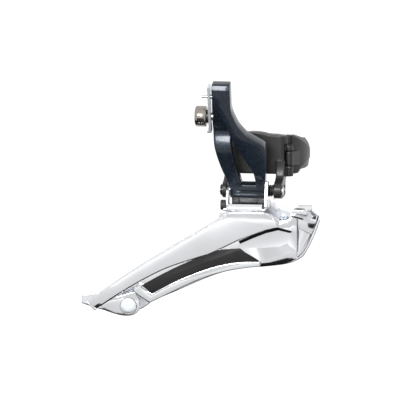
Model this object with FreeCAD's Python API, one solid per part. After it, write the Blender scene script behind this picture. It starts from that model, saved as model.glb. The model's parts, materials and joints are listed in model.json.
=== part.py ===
import FreeCAD, Part
import math
import os

# Band-on front derailleur, bottom-swing, long-arm type.
# Origin: centre of the seat tube clamp, on the tube's axis and at the band's mid height.
# +Z up the seat tube, +X towards the front wheel, -Y outboard (drive side). Millimetres.

V = FreeCAD.Vector
os.makedirs("parts", exist_ok=True)

# seat tube clamp
TUBE_R = 15.9
BAND_R = 18.8
BAND_EDGE_R = 17.6
BAND_HALF_H = 7.0
SPLIT_GAP = 0.6
HINGE_DEG = -55.0
HINGE_R = 20.9
HINGE_BARREL_R = 1.95
HINGE_PIN_R = 0.9
KNUCKLES = [(-6.8, -2.1), (-1.8, 4.7), (5.0, 7.4)]
LUG_DEG = 124.0
LUG_OUT = 28.0
LUG_T = 3.0
BOLT_R = 2.0
BOLT_AT = 23.2
NUT_GAP = 0.4

# parallelogram, all four axes run fore and aft (Y, Z of each)
P_BASE_OUT = (-30.0, -11.6)
LINK = (2.0, -19.0)
SPREAD = (8.2, -0.8)
P_CAGE_OUT = (P_BASE_OUT[0] + LINK[0], P_BASE_OUT[1] + LINK[1])
P_BASE_IN = (P_BASE_OUT[0] + SPREAD[0], P_BASE_OUT[1] + SPREAD[1])
P_CAGE_IN = (P_CAGE_OUT[0] + SPREAD[0], P_CAGE_OUT[1] + SPREAD[1])
PIN_R = 1.5
RUN = 0.06

# stations along X through the pivots
REAR_EAR = (-16.6, -14.4)
REAR_CHEEK = (-14.1, -12.9)
ARM_X = (-12.6, 3.3)
FRONT_CHEEK = (3.7, 5.1)
FRONT_EAR = (6.9, 10.6)

# long arm
ARM_LEAN = 16.0
ARM_T = 5.4
BARREL_R = 2.8
CABLE_Z = 24.8
CABLE_Y = -30.0
GUIDE_Z = 34.6
LIMIT_R = 1.2
LIMIT_SCREWS = [(-9.2, 6.0), (-3.4, 6.0)]

# cage
OUT_Y = -47.0
OUT_T = 1.4
IN_Y = -35.0
IN_T = 1.2
FRONT_BEND_X = 19.7
FRONT_BEND_DEG = 18.0
GROOVE_D = 1.2
TAIL_X = -57.5
TAIL_Z = -63.4
RIVET_R = 1.1
WEB_RIVETS = [(-10.6, -29.4), (1.6, -29.4), (12.0, -23.2)]
FRONT_RIVETS = [(20.0, -22.0), (23.6, -23.0)]


def edges_of(runs, plane):
    """Edges of a closed outline. Each run is a list of points: two make a line, more make a curve."""
    edges = []
    ends = []
    for run in runs:
        pts = [plane(a, b) for a, b in run]
        if ends and ends[-1].distanceToPoint(pts[0]) > 1e-6:
            edges.append(Part.makeLine(ends[-1], pts[0]))
        if len(pts) == 2:
            edges.append(Part.makeLine(pts[0], pts[1]))
        elif len(pts) > 2:
            curve = Part.BSplineCurve()
            curve.interpolate(pts)
            edges.append(curve.toShape())
        if not ends:
            ends.append(pts[0])
        ends.append(pts[-1])
    if ends[-1].distanceToPoint(ends[0]) > 1e-6:
        edges.append(Part.makeLine(ends[-1], ends[0]))
    return edges


def prism_y(runs, y0, y1):
    """Outline in X, Z pushed from y0 to y1."""
    wire = Part.Wire(edges_of(runs, lambda a, b: V(a, y0, b)))
    return Part.Face(wire).extrude(V(0, y1 - y0, 0))


def prism_x(runs, x0, x1):
    """Outline in Y, Z pushed from x0 to x1."""
    wire = Part.Wire(edges_of(runs, lambda a, b: V(x0, a, b)))
    return Part.Face(wire).extrude(V(x1 - x0, 0, 0))


def prism_z(runs, z0, z1):
    """Outline in X, Y pushed from z0 to z1."""
    wire = Part.Wire(edges_of(runs, lambda a, b: V(a, b, z0)))
    return Part.Face(wire).extrude(V(0, 0, z1 - z0))


def polygon(points):
    """Straight-sided outline as runs of two points."""
    return [[points[i], points[(i + 1) % len(points)]] for i in range(len(points))]


def rod_x(r, x0, x1, yz):
    return Part.makeCylinder(r, x1 - x0, V(x0, yz[0], yz[1]), V(1, 0, 0))


def rod_y(r, y0, y1, x, z):
    return Part.makeCylinder(r, y1 - y0, V(x, y0, z), V(0, 1, 0))


def box(x0, x1, y0, y1, z0, z1):
    return Part.makeBox(x1 - x0, y1 - y0, z1 - z0, V(x0, y0, z0))


def hexagon(r, depth, base, direction):
    """Six-sided driving socket to cut out of a head, r across its corners' half width."""
    points = [V(r * math.cos(math.radians(60 * i)), r * math.sin(math.radians(60 * i)), 0) for i in range(7)]
    prism = Part.Face(Part.makePolygon(points)).extrude(V(0, 0, depth))
    prism.Placement = FreeCAD.Placement(base, FreeCAD.Rotation(V(0, 0, 1), direction))
    return prism


def rounded(shape, r, pick):
    """Fillet the edges that pick chooses."""
    edges = [e for e in shape.Edges if pick(e)]
    return shape.makeFillet(r, edges)


def fuse(shapes):
    solid = shapes[0].multiFuse(shapes[1:])
    return solid.removeSplitter()


def polar(r, deg):
    return (r * math.cos(math.radians(deg)), r * math.sin(math.radians(deg)))


def sector(deg0, deg1, r, z0, z1):
    """Pie slice about the tube axis, from deg0 round to deg1."""
    points = [(0.0, 0.0)]
    steps = 8
    for i in range(steps + 1):
        points.append(polar(r, deg0 + (deg1 - deg0) * i / steps))
    return prism_z(polygon(points), z0, z1)


def band_ring():
    """Full ring with a gently domed outer wall."""
    h = BAND_HALF_H
    wall = [
        [(TUBE_R, -h), (BAND_EDGE_R, -h)],
        [(BAND_EDGE_R, -h), (BAND_R - 0.35, -h * 0.55), (BAND_R, 0.0), (BAND_R - 0.35, h * 0.55), (BAND_EDGE_R, h)],
        [(BAND_EDGE_R, h), (TUBE_R, h)],
    ]
    wire = Part.Wire(edges_of(wall, lambda a, b: V(a, 0, b)))
    return Part.Face(wire).revolve(V(0, 0, 0), V(0, 0, 1), 360)


def turned_z(shape, deg):
    out = shape.copy()
    out.rotate(V(0, 0, 0), V(0, 0, 1), deg)
    return out


def clamp_lug(side):
    """Ear that takes the clamp bolt, on one side of the split (side +1 or -1), built along +X."""
    y0 = SPLIT_GAP / 2 + 0.6
    points = [(BAND_R - 1.8, y0), (LUG_OUT, y0), (LUG_OUT, y0 + LUG_T), (BAND_R - 1.0, y0 + LUG_T + 1.6)]
    lug = prism_z(polygon([(x, side * y) for x, y in points]), -4.6, 4.6)
    lug = rounded(lug, 2.4, lambda e: e.BoundBox.XMin > LUG_OUT - 0.1 and e.BoundBox.YLength > 1 and e.BoundBox.ZLength < 0.1)
    lug = lug.cut(Part.makeCylinder(BOLT_R + 0.45, 14, V(BOLT_AT, -7, 0), V(0, 1, 0)))
    return turned_z(lug, LUG_DEG)


def hinge_knuckle(z0, z1):
    """One knuckle of the band's hinge."""
    x, y = polar(HINGE_R, HINGE_DEG)
    return Part.makeCylinder(HINGE_BARREL_R, z1 - z0, V(x, y, z0), V(0, 0, 1))


def hinge_hole():
    x, y = polar(HINGE_R, HINGE_DEG)
    return Part.makeCylinder(HINGE_PIN_R + 0.05, 40, V(x, y, -20), V(0, 0, 1))


def base_bracket():
    """Outer half of the seat tube clamp, cast in one with the block and the two ears of the mechanism."""
    half = band_ring().common(sector(LUG_DEG + 1.0, 360 + HINGE_DEG - 1.5, 60, -20, 20))
    half = half.cut(box(REAR_EAR[1], FRONT_EAR[0], -30, -5, -10, -5.4))
    wall = prism_z([
        [(-15.4, -9.6), (-15.2, -18.4)],
        [(-15.2, -18.4), (-14.4, -20.4), (-12.4, -21.2)],
        [(-12.4, -21.2), (8.2, -21.2)],
        [(8.2, -21.2), (9.8, -20.6), (10.2, -19.0)],
        [(10.2, -19.0), (9.9, -15.6)],
        [(9.9, -15.6), (4.0, -14.0)],
        [(4.0, -14.0), (-4.0, -14.0)],
    ], -5.4, 14.0)
    crown = prism_y([
        [(-16.0, -7.0), (-16.0, 8.6)],
        [(-16.0, 8.6), (-13.0, 11.6), (-8.0, 13.0)],
        [(-8.0, 13.0), (-2.0, 13.6), (3.0, 12.7)],
        [(3.0, 12.7), (10.4, 12.0)],
        [(10.4, 12.0), (10.8, 7.6)],
        [(10.8, 7.6), (10.8, -7.0)],
    ], -30, -5)
    wall = wall.common(crown)
    brow = prism_z(polygon([(9.0, -14.6), (11.6, -13.2), (12.4, -15.0), (12.2, -17.6), (10.6, -20.2), (8.0, -21.0)]),
                   8.0, 11.9)
    wall = wall.fuse(brow)
    wall = wall.cut(Part.makeCylinder(TUBE_R + 0.5, 40, V(0, 0, BAND_HALF_H)))
    ears = [ear(x0, x1) for x0, x1 in (REAR_EAR, FRONT_EAR)]
    x, y = polar(HINGE_R, HINGE_DEG)
    web = prism_z(polygon([(x - 1.8, y - 0.4), (x - 1.0, y + 1.5), (x - 2.6, y + 4.2), (x - 4.4, y + 2.6)]),
                  KNUCKLES[0][0], KNUCKLES[2][1])
    body = fuse([half, wall, web, clamp_lug(1)] + ears)
    body = body.fuse(hinge_knuckle(*KNUCKLES[0])).fuse(hinge_knuckle(*KNUCKLES[2]))
    body = body.cut(Part.makeCylinder(HINGE_BARREL_R + 0.3, KNUCKLES[1][1] - KNUCKLES[1][0] + 0.6,
                                      V(x, y, KNUCKLES[1][0] - 0.3)))
    body = body.cut(Part.makeCylinder(TUBE_R, 60, V(0, 0, -30)))
    body = body.cut(hinge_hole())
    for yz in (P_BASE_OUT, P_BASE_IN):
        body = body.cut(rod_x(PIN_R + RUN, -30, 30, yz))
        body = body.cut(rod_x(2.5, FRONT_EAR[1] - 0.85, 30, yz))
    for x0, z0 in LIMIT_SCREWS:
        body = body.cut(Part.makeCylinder(LIMIT_R + RUN, 20, V(x0, -19.2, z0), V(0, -1, 0)))
    return body.removeSplitter()


def ear(x0, x1):
    """Flat cheek hanging from the block that holds both upper pivots."""
    ox, oz = P_BASE_OUT
    ix, iz = P_BASE_IN
    outline = [
        [(ox - 3.4, oz), (ox - 2.4, oz - 2.6), (ox, oz - 3.6)],
        [(ox, oz - 3.6), (ix, iz - 3.2)],
        [(ix, iz - 3.2), (ix + 2.5, iz - 2.0), (ix + 3.2, iz)],
        [(ix + 3.2, iz), (-17.0, -6.0)],
        [(-17.0, -6.0), (-17.0, 0.0)],
        [(-17.0, 0.0), (-21.0, 1.0)],
        [(-21.0, 1.0), (-23.4, -2.0), (-24.7, -5.6)],
        [(-24.7, -5.6), (-28.4, -7.4), (ox - 2.4, -9.0), (ox - 3.4, oz)],
    ]
    return prism_x(outline, x0, x1)


def clamp_band():
    """Inner half of the clamp, hinged at the front and drawn up by the clamp bolt."""
    half = band_ring().common(sector(HINGE_DEG + 5.5, LUG_DEG - 1.0, 60, -20, 20))
    half = half.common(box(-30, 30, -30, 30, -4.8, 5.6))
    shoulder = sector(HINGE_DEG + 6.5, 2.0, 19.3, -6.6, 12.0)
    shoulder = shoulder.cut(Part.makeCylinder(TUBE_R, 40, V(0, 0, -20)))
    shoulder = shoulder.cut(Part.makeCylinder(TUBE_R + 0.5, 40, V(0, 0, BAND_HALF_H)))
    shape = prism_y([
        [(9.0, 11.8), (13.2, 11.4)],
        [(13.2, 11.4), (16.4, 9.0), (18.6, 5.8), (19.3, 2.6)],
        [(19.3, 2.6), (19.3, 0.4)],
        [(19.3, 0.4), (18.6, -1.8), (16.6, -3.9), (15.4, -6.2)],
        [(15.4, -6.2), (9.0, -6.6)],
    ], -30, 10)
    x, y = polar(HINGE_R, HINGE_DEG)
    web = prism_z(polygon([(x + 0.2, y + 1.4), (x + 1.8, y - 0.6), (x + 4.6, y + 4.9), (x + 1.6, y + 4.6)]),
                  KNUCKLES[1][0], KNUCKLES[1][1])
    body = fuse([half, shoulder.common(shape), web, hinge_knuckle(*KNUCKLES[1]), clamp_lug(-1)])
    for z0, z1 in (KNUCKLES[0], KNUCKLES[2]):
        body = body.cut(Part.makeCylinder(HINGE_BARREL_R + 0.35, z1 - z0 + 0.6, V(x, y, z0 - 0.3)))
    body = body.cut(Part.makeCylinder(TUBE_R, 60, V(0, 0, -30)))
    body = body.cut(hinge_hole())
    return body.removeSplitter()


def clamp_hinge_pin():
    x, y = polar(HINGE_R, HINGE_DEG)
    pin = Part.makeCylinder(HINGE_PIN_R, KNUCKLES[2][1] - KNUCKLES[0][0], V(x, y, KNUCKLES[0][0]))
    head = Part.makeCylinder(HINGE_PIN_R + 0.6, 0.5, V(x, y, KNUCKLES[2][1]))
    return pin.fuse(head).removeSplitter()


def lug_face():
    """Distance from the split plane to the outside of either lug at the bolt."""
    return SPLIT_GAP / 2 + 0.6 + LUG_T + 1.6


def clamp_bolt():
    """Socket head bolt through both lugs; built along Y, then turned to the lugs' direction."""
    y = lug_face() + 0.43
    head = Part.makeCylinder(3.6, 3.8, V(BOLT_AT, y, 0), V(0, 1, 0))
    head = rounded(head, 0.5, lambda e: e.BoundBox.YMin > y + 3.7)
    shank = Part.makeCylinder(BOLT_R, 2 * y + 3.4, V(BOLT_AT, -y - 3.4, 0), V(0, 1, 0))
    bolt = head.fuse(shank)
    bolt = bolt.cut(hexagon(2.0, 2.4, V(BOLT_AT, y + 1.5, 0), V(0, 1, 0)))
    return turned_z(bolt.removeSplitter(), LUG_DEG)


def clamp_washer():
    y = lug_face()
    seat = box(BOLT_AT - 3.9, BOLT_AT + 3.9, SPLIT_GAP / 2 + 0.6 + LUG_T, y + 0.4, -3.9, 3.9)
    ring = Part.makeCylinder(3.9, y + 0.4 - SPLIT_GAP / 2 - 0.6 - LUG_T, V(BOLT_AT, SPLIT_GAP / 2 + 0.6 + LUG_T, 0), V(0, 1, 0))
    ring = ring.common(seat).cut(Part.makeCylinder(BOLT_R + RUN, 20, V(BOLT_AT, -1, 0), V(0, 1, 0)))
    ring = turned_z(ring, LUG_DEG)
    return ring.cut(base_bracket())


def clamp_nut():
    """Round threaded nut on the far lug."""
    y = SPLIT_GAP / 2 + 0.6 + LUG_T
    nut = Part.makeCylinder(3.6, 4.2, V(BOLT_AT, -y - 4.2, 0), V(0, 1, 0))
    nut = rounded(nut, 0.5, lambda e: e.BoundBox.YMax < -y - 4.1)
    nut = nut.cut(Part.makeCylinder(BOLT_R + RUN, 20, V(BOLT_AT, -15, 0), V(0, 1, 0)))
    nut = turned_z(nut, LUG_DEG).cut(clamp_band())
    back = polar(NUT_GAP, LUG_DEG - 90)
    nut.translate(V(back[0], back[1], 0))
    return nut


def leaned(shape):
    """Turn an upright arm shape outboard about the arm's pivot."""
    out = shape.copy()
    out.rotate(V(0, P_BASE_OUT[0], P_BASE_OUT[1]), V(1, 0, 0), ARM_LEAN)
    return out


def long_arm():
    """Outer link: broad head with the cable bolt, two legs round a window, pivot barrel and lower link."""
    yc = P_BASE_OUT[0]
    outline = [
        [(-19.6, 40.2), (-18.8, 41.2)],
        [(-18.8, 41.2), (-12.2, 41.2)],
        [(-12.2, 41.2), (-11.2, 40.2)],
        [(-11.2, 40.2), (-11.2, 30.4)],
        [(-11.2, 30.4), (-10.6, 27.0), (-8.1, 21.0), (-4.4, 16.4)],
        [(-4.4, 16.4), (2.9, 12.0)],
        [(2.9, 12.0), (3.9, 10.8), (3.9, 9.2)],
        [(3.9, 9.2), (3.3, -5.8)],
        [(3.3, -5.8), (3.3, -11.6)],
        [(3.3, -11.6), (-12.6, -11.6)],
        [(-12.6, -11.6), (-14.2, -6.0)],
        [(-14.2, -6.0), (-16.8, -0.2), (-19.0, 7.0), (-20.1, 14.4), (-20.0, 24.0), (-19.6, 40.2)],
    ]
    window = [
        [(-11.6, 15.6), (-11.3, 8.9), (-10.2, 2.9), (-8.2, -4.4)],
        [(-8.2, -4.4), (-7.4, -7.6), (-5.6, -8.6)],
        [(-5.6, -8.6), (-0.8, -8.6)],
        [(-0.8, -8.6), (-1.9, -1.9), (-4.9, 3.5), (-8.8, 10.4), (-11.6, 15.6)],
    ]
    plate = prism_y(outline, yc - ARM_T / 2, yc + ARM_T / 2)
    plate = plate.cut(prism_y(window, yc - 10, yc + 10))
    # the outer face is dished behind the crease that runs down the left leg
    face = prism_y(polygon([(-21.0, 43.5), (-18.9, 43.5), (-16.9, 30.0), (-12.4, 17.4), (-12.4, 8.9), (-11.3, 2.9),
                            (-9.4, -3.6), (-10.6, -8.6), (-21.0, -8.6)]), yc - ARM_T / 2 - 1, yc - ARM_T / 2 + 0.5)
    plate = plate.cut(face)
    barrel = Part.makeCylinder(BARREL_R, ARM_X[1] - ARM_X[0], V(ARM_X[0], yc, P_BASE_OUT[1]), V(1, 0, 0))
    upper = leaned(plate)
    lower_x = (ARM_X[0] + 0.4, ARM_X[1] - 0.4)
    t = 2.2
    a, b = P_BASE_OUT, P_CAGE_OUT
    link = prism_x(polygon([(a[0] - t, a[1]), (a[0] + t, a[1]), (b[0] + t, b[1]), (b[0] - t, b[1])]), *lower_x)
    slot = box(-8.6, -0.6, -40, -20, -25.4, -20.2)
    foot = rod_x(2.7, lower_x[0], lower_x[1], b)
    arm = fuse([upper, barrel, link.cut(slot), foot])
    for yz in (a, b):
        arm = arm.cut(rod_x(PIN_R + RUN, -30, 30, yz))
    for x0, x1 in ((ARM_X[0] - 1, ARM_X[0] + 2.4), (ARM_X[1] - 2.4, ARM_X[1] + 1)):
        arm = arm.cut(rod_x(2.05, x0, x1, a))
    arm = arm.cut(leaned(cable_bore()))
    arm = arm.cut(leaned(guide_bore()))
    return arm.removeSplitter()


def arm_bushes():
    """Two plain bushes pressed into the arm's pivot barrel."""
    rings = []
    for x0, x1 in ((ARM_X[0], ARM_X[0] + 2.4), (ARM_X[1] - 2.4, ARM_X[1])):
        ring = rod_x(2.05, x0, x1, P_BASE_OUT).cut(rod_x(PIN_R + RUN, -30, 30, P_BASE_OUT))
        rings.append(ring)
    return Part.makeCompound(rings)


def cable_bore():
    """Threaded cross hole of the cable bolt, fore and aft through the rear edge of the arm's head."""
    return rod_x(1.9, -30, -13.8, (CABLE_Y, CABLE_Z))


def guide_bore():
    return rod_x(1.0, -30, -14.6, (CABLE_Y, GUIDE_Z))


def cable_plate():
    """Bright clamp plate behind the arm's head, hooked over at its lower end."""
    outline = [
        [(CABLE_Y - 3.0, 40.2), (CABLE_Y + 1.6, 40.2)],
        [(CABLE_Y + 1.6, 40.2), (CABLE_Y + 1.6, 18.9)],
        [(CABLE_Y + 1.6, 18.9), (CABLE_Y - 3.0, 18.9)],
    ]
    plate = prism_x(outline, -21.4, -20.3)
    foot = prism_y([[(-21.4, 18.9), (-20.3, 18.9)], [(-20.3, 18.9), (-20.3, 17.9)], [(-20.3, 17.9), (-22.2, 17.9)],
                    [(-22.2, 17.9), (-22.2, 18.5)]], CABLE_Y - 3.0, CABLE_Y + 1.6)
    plate = fuse([plate, foot])
    plate = plate.cut(rod_x(1.96, -40, -10, (CABLE_Y, CABLE_Z)))
    plate = plate.cut(rod_x(1.06, -40, -10, (CABLE_Y, GUIDE_Z)))
    return leaned(plate)


def cable_collar():
    """Dark toothed washer under the cable bolt's head."""
    ring = rod_x(3.1, -22.4, -21.4, (CABLE_Y, CABLE_Z)).cut(rod_x(1.96, -40, -10, (CABLE_Y, CABLE_Z)))
    return leaned(ring)


def cable_bolt():
    """Socket head bolt that pinches the cable, with a chamfered head facing the rear."""
    yz = (CABLE_Y, CABLE_Z)
    head = rod_x(4.75, -27.6, -22.4, yz)
    head = head.makeChamfer(0.7, [e for e in head.Edges if e.BoundBox.XLength < 0.01])
    bolt = head.fuse(rod_x(1.84, -22.4, -14.4, yz))
    bolt = bolt.cut(hexagon(2.5, 3.0, V(-24.6, yz[0], yz[1]), V(-1, 0, 0)))
    return leaned(bolt.removeSplitter())


def cable_guide_pin():
    yz = (CABLE_Y, GUIDE_Z)
    pin = rod_x(0.98, -21.4, -15.0, yz)
    cap = rod_x(0.62, -24.4, -21.4, yz)
    return leaned(pin.fuse(cap).removeSplitter())


def inner_link():
    """Short link behind the arm, parallel to the arm's lower part."""
    a, b = P_BASE_IN, P_CAGE_IN
    x0, x1 = ARM_X[0] + 0.2, ARM_X[1] - 0.2
    t = 1.4
    web = prism_x(polygon([(a[0] - t, a[1]), (a[0] + t, a[1]), (b[0] + t, b[1]), (b[0] - t, b[1])]), x0, x1)
    window = box(-9.0, -0.4, -30, -10, -26.0, -17.4)
    link = fuse([web.cut(window), rod_x(2.7, x0, x1, a), rod_x(2.7, x0, x1, b)])
    for yz in (a, b):
        link = link.cut(rod_x(PIN_R + RUN, -30, 30, yz))
    return link.removeSplitter()


def pivot_pin(yz, x0, x1, head):
    """Headed pin with a groove for its clip near the plain end."""
    pin = rod_x(PIN_R, x0, x1, yz).fuse(rod_x(head, x1, x1 + 0.5, yz))
    groove = rod_x(3.0, x0 + 0.35, x0 + 0.85, yz).cut(rod_x(1.1, x0, x0 + 1, yz))
    return pin.removeSplitter().cut(groove)


def clip(yz, x0):
    """Retaining clip that snaps in the pin's groove, open on one side."""
    ring = rod_x(2.5, x0 + 0.4, x0 + 0.8, yz).cut(rod_x(1.12, x0, x0 + 1, yz))
    return ring.cut(box(x0, x0 + 1, yz[0] - 0.8, yz[0] + 0.8, yz[1], yz[1] + 4))


def outer_base_pin():
    return pivot_pin(P_BASE_OUT, REAR_EAR[0] - 1.2, FRONT_EAR[1], 2.0)


def inner_base_pin():
    return pivot_pin(P_BASE_IN, REAR_EAR[0] - 1.2, FRONT_EAR[1], 2.0)


def outer_cage_pin():
    return pivot_pin(P_CAGE_OUT, REAR_CHEEK[0] - 1.2, FRONT_CHEEK[1], 2.2)


def inner_cage_pin():
    return pivot_pin(P_CAGE_IN, REAR_CHEEK[0] - 1.2, FRONT_CHEEK[1], 2.2)


def base_pin_clips():
    return Part.makeCompound([clip(yz, REAR_EAR[0] - 1.2) for yz in (P_BASE_OUT, P_BASE_IN)])


def cage_pin_clips():
    return Part.makeCompound([clip(yz, REAR_CHEEK[0] - 1.2) for yz in (P_CAGE_OUT, P_CAGE_IN)])


def return_spring():
    """Coils of the return spring round the outer base pin, with the leg that bears on the front ear."""
    wire_r = 0.42
    coil_r = 2.32
    pitch = 0.98
    helix = Part.makeHelix(pitch, pitch * 2.5, coil_r)
    section = Part.Wire(Part.makeCircle(wire_r, V(coil_r, 0, 0), V(0, 1, 0)))
    coil = Part.Wire(helix).makePipeShell([section], True, True)
    coil.rotate(V(0, 0, 0), V(0, 1, 0), 90)
    coil.translate(V(3.85, P_BASE_OUT[0], P_BASE_OUT[1]))
    return coil


def spring_bush():
    """Sleeve inside the coils that keeps the arm off the front ear."""
    ring = rod_x(1.84, 3.4, 6.8, P_BASE_OUT)
    return ring.cut(rod_x(PIN_R + RUN, -30, 30, P_BASE_OUT))


def limit_screw(x, z):
    """Adjusting screw standing in the block's crown, slotted cross head on the outboard side."""
    shank = Part.makeCylinder(LIMIT_R, 2.1, V(x, -21.4, z), V(0, 1, 0))
    head = Part.makeCylinder(2.1, 1.2, V(x, -22.6, z), V(0, 1, 0))
    screw = head.fuse(shank)
    for dx, dz in ((1.5, 0.3), (0.3, 1.5)):
        screw = screw.cut(box(x - dx, x + dx, -22.8, -22.1, z - dz, z + dz))
    return screw.removeSplitter()


def cheek(x0, x1, horn_top, horn_out):
    """Side wall of the cage bracket in Y, Z: lower part holds the two cage pins, upper horn rises past the deck."""
    co, ci = P_CAGE_OUT, P_CAGE_IN
    outline = [
        [(-32.8, -18.6), (-32.8, -17.5)],
        [(-32.8, -17.5), (-33.8, -17.5)],
        [(-33.8, -17.5), (-33.8, horn_top)],
        [(-33.8, horn_top), (horn_out, horn_top)],
        [(horn_out, horn_top), (horn_out - 3.0, -18.0)],
        [(horn_out - 3.0, -18.0), (-33.8, -18.0)],
        [(-33.8, -18.0), (-33.8, -36.0)],
        [(-33.8, -36.0), (co[0] - 2.0, co[1] - 3.6)],
        [(co[0] - 2.0, co[1] - 3.6), (ci[0] + 0.4, ci[1] - 3.2)],
        [(ci[0] + 0.4, ci[1] - 3.2), (ci[0] + 2.6, ci[1] - 1.6), (ci[0] + 2.9, ci[1] + 1.0)],
        [(ci[0] + 2.9, ci[1] + 1.0), (ci[0] - 0.6, ci[1] + 3.2)],
        [(ci[0] - 0.6, ci[1] + 3.2), (co[0] + 1.0, -24.4), (-31.6, -20.4)],
        [(-31.6, -20.4), (-32.8, -18.6)],
    ]
    return prism_x(outline, x0, x1)


def cage_bracket():
    """Chrome plated U bracket: deck over the chain, two cheeks for the cage pins, web on the inner plate."""
    rear = cheek(*REAR_CHEEK, -10.6, -36.4)
    front = cheek(*FRONT_CHEEK, -6.8, -37.4)
    web = box(REAR_CHEEK[0], FRONT_CHEEK[1], -33.8, -32.8, -36.0, -18.6)
    web = web.cut(box(ARM_X[0] + 0.6, ARM_X[1] - 0.6, -40, -30, -27.0, -18.0))
    deck = box(REAR_CHEEK[0], FRONT_CHEEK[1], OUT_Y + 0.2, -32.8, -18.6, -17.5)
    lip = prism_x([
        [(OUT_Y + 0.2, -18.6), (OUT_Y + 0.2, -17.2)],
        [(OUT_Y + 0.2, -17.2), (OUT_Y + 0.9, -15.7)],
        [(OUT_Y + 0.9, -15.7), (OUT_Y + 1.5, -15.5), (OUT_Y + 2.1, -15.9)],
        [(OUT_Y + 2.1, -15.9), (OUT_Y + 2.3, -18.6)],
    ], REAR_CHEEK[1] + 0.6, FRONT_CHEEK[0] - 0.4)
    wing = box(FRONT_CHEEK[0], 14.6, -33.8, -32.8, -26.0, -20.6)
    skirt = box(REAR_CHEEK[1], FRONT_CHEEK[0], OUT_Y + OUT_T, OUT_Y + OUT_T + 1.0, -23.0, -18.0)
    bracket = fuse([rear, front, web, deck, lip, wing, skirt])
    for yz in (P_CAGE_OUT, P_CAGE_IN):
        bracket = bracket.cut(rod_x(PIN_R + RUN, -30, 30, yz))
    for x, z in WEB_RIVETS:
        bracket = bracket.cut(rod_y(RIVET_R + 0.02, -40, -30, x, z))
    return bracket.removeSplitter()


def stop_bumper():
    """Black cap on the rear cheek that meets the base when the mechanism is fully down."""
    return rod_x(2.3, -16.4, REAR_CHEEK[0], (-37.2, -17.4))


def swoosh_top():
    return [(-10.8, -18.6), (-24.6, -27.5), (-43.0, -38.7), (-61.3, -50.6), (-77.2, -62.2)]


def cage_outline():
    """Outer plate in X, Z up to the front bend."""
    return [
        [(FRONT_BEND_X, -19.4), (17.0, -19.4)],
        [(17.0, -19.4), (16.2, -21.4), (14.6, -22.7), (12.0, -22.7), (8.0, -20.1)],
        [(8.0, -20.1), (4.4, -18.6)],
        [(4.4, -18.6), (-10.8, -18.6)],
        swoosh_top(),
        [(-77.2, -62.2), (-72.4, -65.8)],
        [(-72.4, -65.8), (-61.3, -57.5), (-56.6, -54.4)],
        [(-56.6, -54.4), (-55.6, -56.2)],
        [(-55.6, -56.2), (-47.6, -61.6)],
        [(-47.6, -61.6), (-38.4, -57.0), (-29.2, -52.4), (-20.0, -48.6), (-10.8, -46.0), (-1.7, -44.4),
         (7.5, -43.5), (14.4, -42.5), (FRONT_BEND_X, -39.9)],
    ]


def groove_outline(shrink):
    s = shrink
    return [
        [(-51.6 + s, -53.2 - s), (-38.5, -47.3 - s), (-24.0, -40.6 - s), (-14.8, -37.4 - s)],
        [(-14.8, -37.4 - s), (-6.1, -36.4 - s)],
        [(-6.1, -36.4 - s), (2.2 - 2 * s, -41.7 + s)],
        [(2.2 - 2 * s, -41.7 + s), (-8.8, -42.8 + s), (-20.3, -45.4 + s), (-29.5, -48.8 + s), (-38.7, -53.0 + s),
         (-47.2, -57.2 + s)],
        [(-47.2, -57.2 + s), (-52.0 + s, -55.6)],
    ]


def swoosh_pad():
    """Raised upper band of the outer plate, sweeping from the deck down to the tail."""
    outline = [
        [(-10.8, -19.0), (-24.6, -28.0), (-43.0, -39.2), (-61.3, -51.1), (-76.8, -62.6)],
        [(-76.8, -62.6), (-72.5, -65.4)],
        [(-72.5, -65.4), (-61.3, -57.0), (-52.1, -51.0), (-43.0, -46.4), (-33.8, -42.5), (-23.7, -39.4)],
        [(-23.7, -39.4), (-15.4, -35.3), (-8.1, -32.2), (-1.7, -29.2)],
        [(-1.7, -29.2), (4.0, -26.8), (11.2, -24.9)],
        [(11.2, -24.9), (8.4, -21.2)],
        [(8.4, -21.2), (4.2, -19.2)],
    ]
    return prism_y(outline, OUT_Y - 0.7, OUT_Y + 0.3)


def recess():
    """Shallow five-sided panel pressed into the front of the outer plate."""
    return prism_y([
        [(-4.9, -35.0), (12.1, -35.0)],
        [(12.1, -35.0), (14.4, -34.0), (15.8, -30.9)],
        [(15.8, -30.9), (16.8, -27.9)],
        [(16.8, -27.9), (11.2, -26.6), (3.9, -28.6), (-2.6, -31.2)],
    ], OUT_Y - 2, OUT_Y + 0.5)


def front_facet(t):
    """Front wall of the outer plate, flat, before it is turned inboard at the bend."""
    x = FRONT_BEND_X
    return prism_y([
        [(x, -20.0), (x + 4.6, -20.8)],
        [(x + 4.6, -20.8), (x + 4.6, -17.6)],
        [(x + 4.6, -17.6), (x + 6.4, -18.6)],
        [(x + 6.4, -18.6), (x + 6.9, -21.6)],
        [(x + 6.9, -21.6), (x + 9.3, -22.2)],
        [(x + 9.3, -22.2), (x + 9.6, -20.6)],
        [(x + 9.6, -20.6), (x + 10.3, -21.0)],
        [(x + 10.3, -21.0), (x + 8.6, -25.8), (x + 6.6, -31.0), (x + 3.4, -36.8), (x, -39.9)],
    ], OUT_Y, OUT_Y + t)


def turned_bend(shape):
    out = shape.copy()
    out.rotate(V(FRONT_BEND_X, OUT_Y, 0), V(0, 0, 1), FRONT_BEND_DEG)
    return out


def rim():
    """Bottom edge of the outer plate turned inboard."""
    low = [(-47.6, -61.6), (-38.4, -57.0), (-29.2, -52.4), (-20.0, -48.6), (-10.8, -46.0), (-1.7, -44.4),
           (7.5, -43.5), (14.4, -42.5), (FRONT_BEND_X, -39.9)]
    high = [(x - 0.3, z + 1.2) for x, z in reversed(low)]
    return prism_y([low, high], OUT_Y, OUT_Y + 3.2)


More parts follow.
